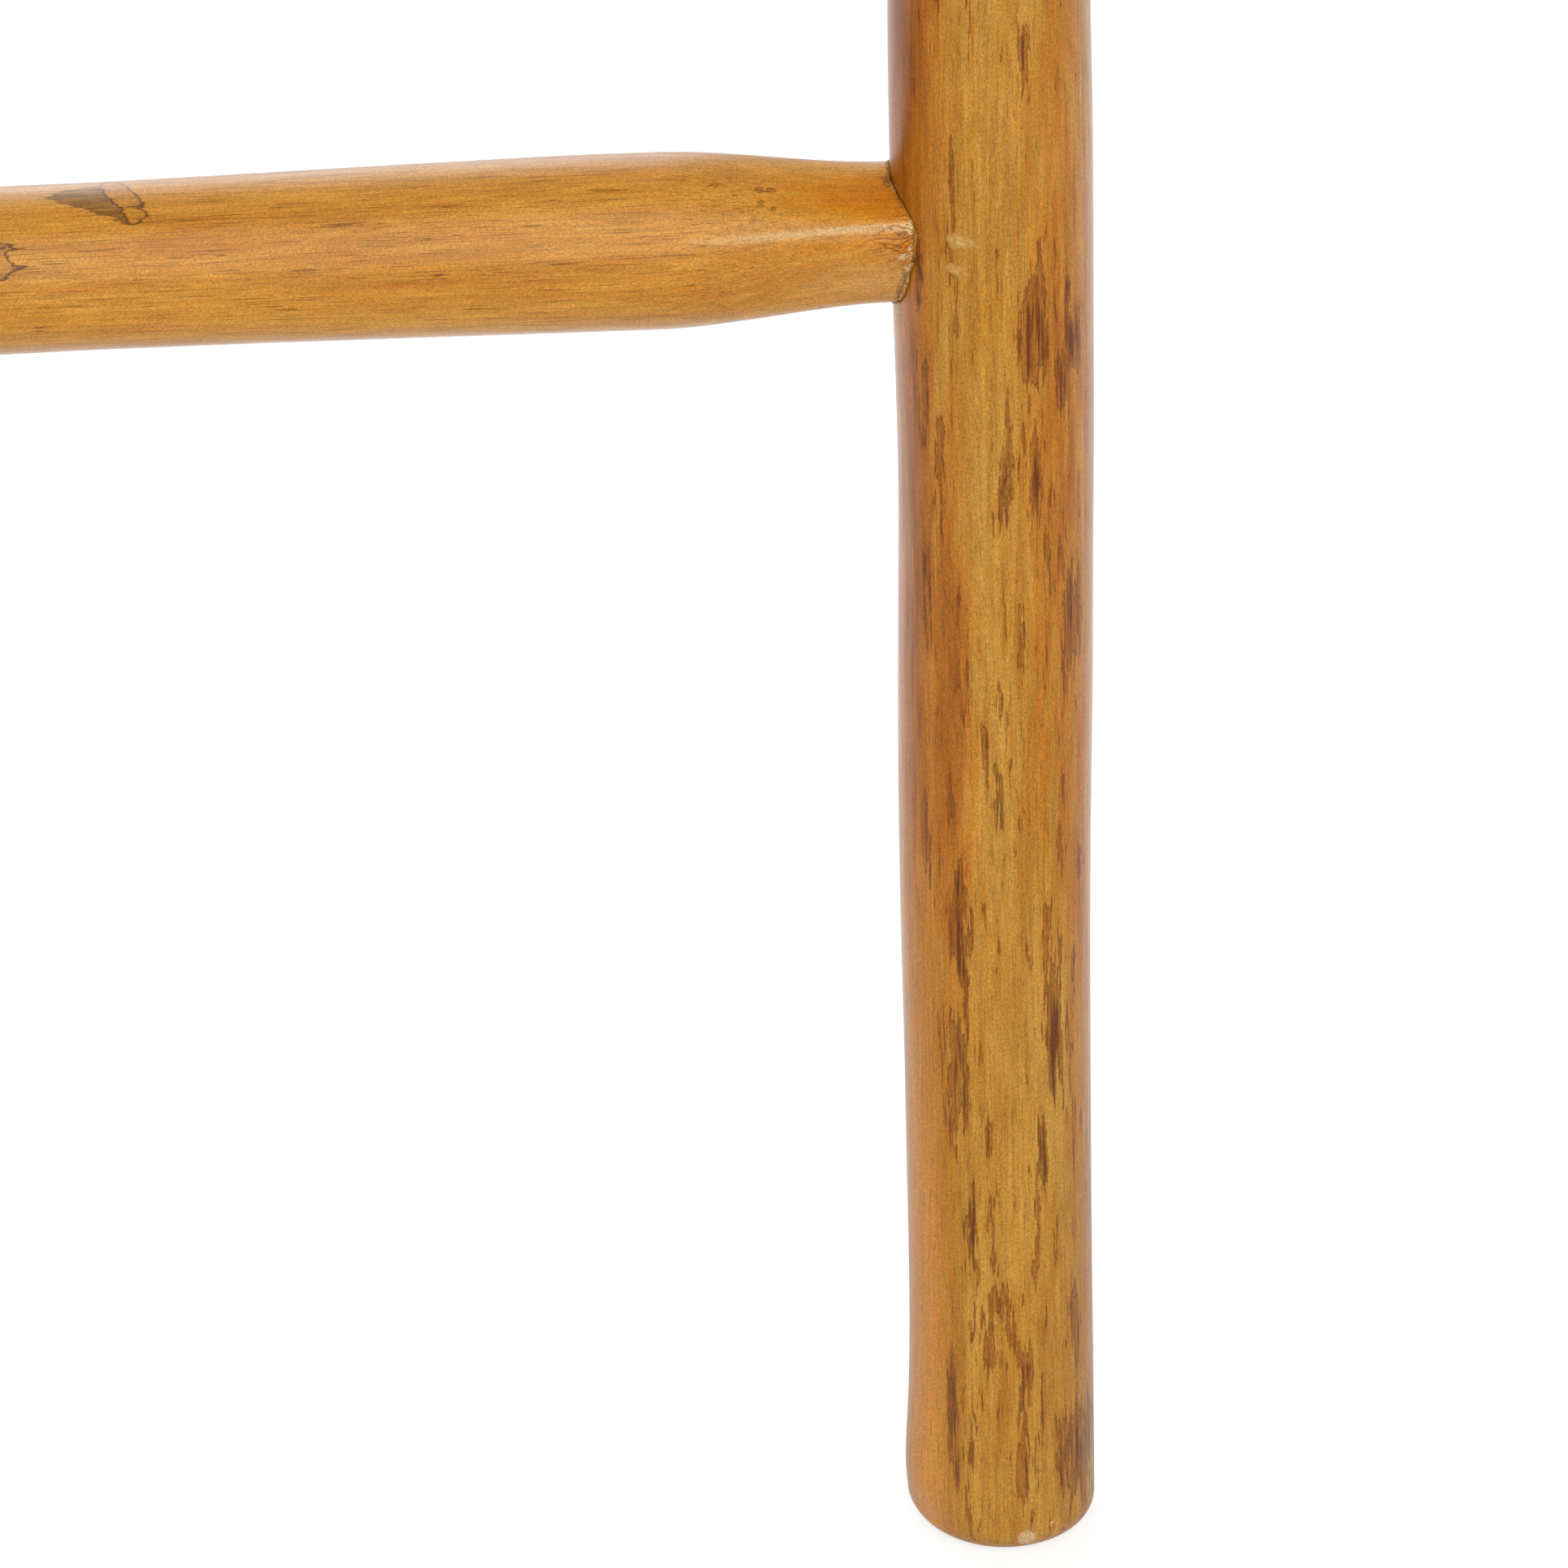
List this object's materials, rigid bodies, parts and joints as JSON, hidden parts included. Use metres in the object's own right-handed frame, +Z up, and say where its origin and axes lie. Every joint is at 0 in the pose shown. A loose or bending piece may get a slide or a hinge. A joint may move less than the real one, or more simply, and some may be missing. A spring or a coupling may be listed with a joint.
{
  "type": "blanket ladder",
  "caption": "Upright rustic blanket ladder of peeled, lacquered poles: two round rails joined by evenly spaced rungs whose ends are shaved four-square, tenoned, glued and pinned.",
  "frame": {"origin": "on the floor, midway between the two feet", "axes": "+X to the right along the rungs, +Y to the back (the side that leans on the wall), +Z up the rails; the rails stand upright, not leaned"},
  "size_m": [0.5117, 0.0549, 1.803],
  "materials": {
    "rail_wood": "peeled hardwood pole with cambium streaks, sanded, under clear satin lacquer",
    "rung_wood": "peeled hardwood branch, ends shaved with a drawknife, under clear satin lacquer",
    "brad_steel": "bright drawn steel wire",
    "wood_filler": "pale yellow wood filler, sanded, under the lacquer",
    "glue": "yellow wood glue, set brown and lumpy along the joint"
  },
  "bodies": {
    "root": {"left_rail": "rail_wood", "right_rail": "rail_wood", "rung_1": "rung_wood", "rung_2": "rung_wood", "rung_3": "rung_wood", "rung_4": "rung_wood", "rung_5": "rung_wood", "glue_left_1": "glue", "brads_left_1": "brad_steel", "filler_left_1": "wood_filler", "glue_right_1": "glue", "brads_right_1": "brad_steel", "filler_right_1": "wood_filler", "glue_left_2": "glue", "brads_left_2": "brad_steel", "filler_left_2": "wood_filler", "glue_right_2": "glue", "brads_right_2": "brad_steel", "filler_right_2": "wood_filler", "glue_left_3": "glue", "brads_left_3": "brad_steel", "filler_left_3": "wood_filler", "glue_right_3": "glue", "brads_right_3": "brad_steel", "filler_right_3": "wood_filler", "glue_left_4": "glue", "brads_left_4": "brad_steel", "filler_left_4": "wood_filler", "glue_right_4": "glue", "brads_right_4": "brad_steel", "filler_right_4": "wood_filler", "glue_left_5": "glue", "brads_left_5": "brad_steel", "filler_left_5": "wood_filler", "glue_right_5": "glue", "brads_right_5": "brad_steel", "filler_right_5": "wood_filler"}
  },
  "joints": []
}
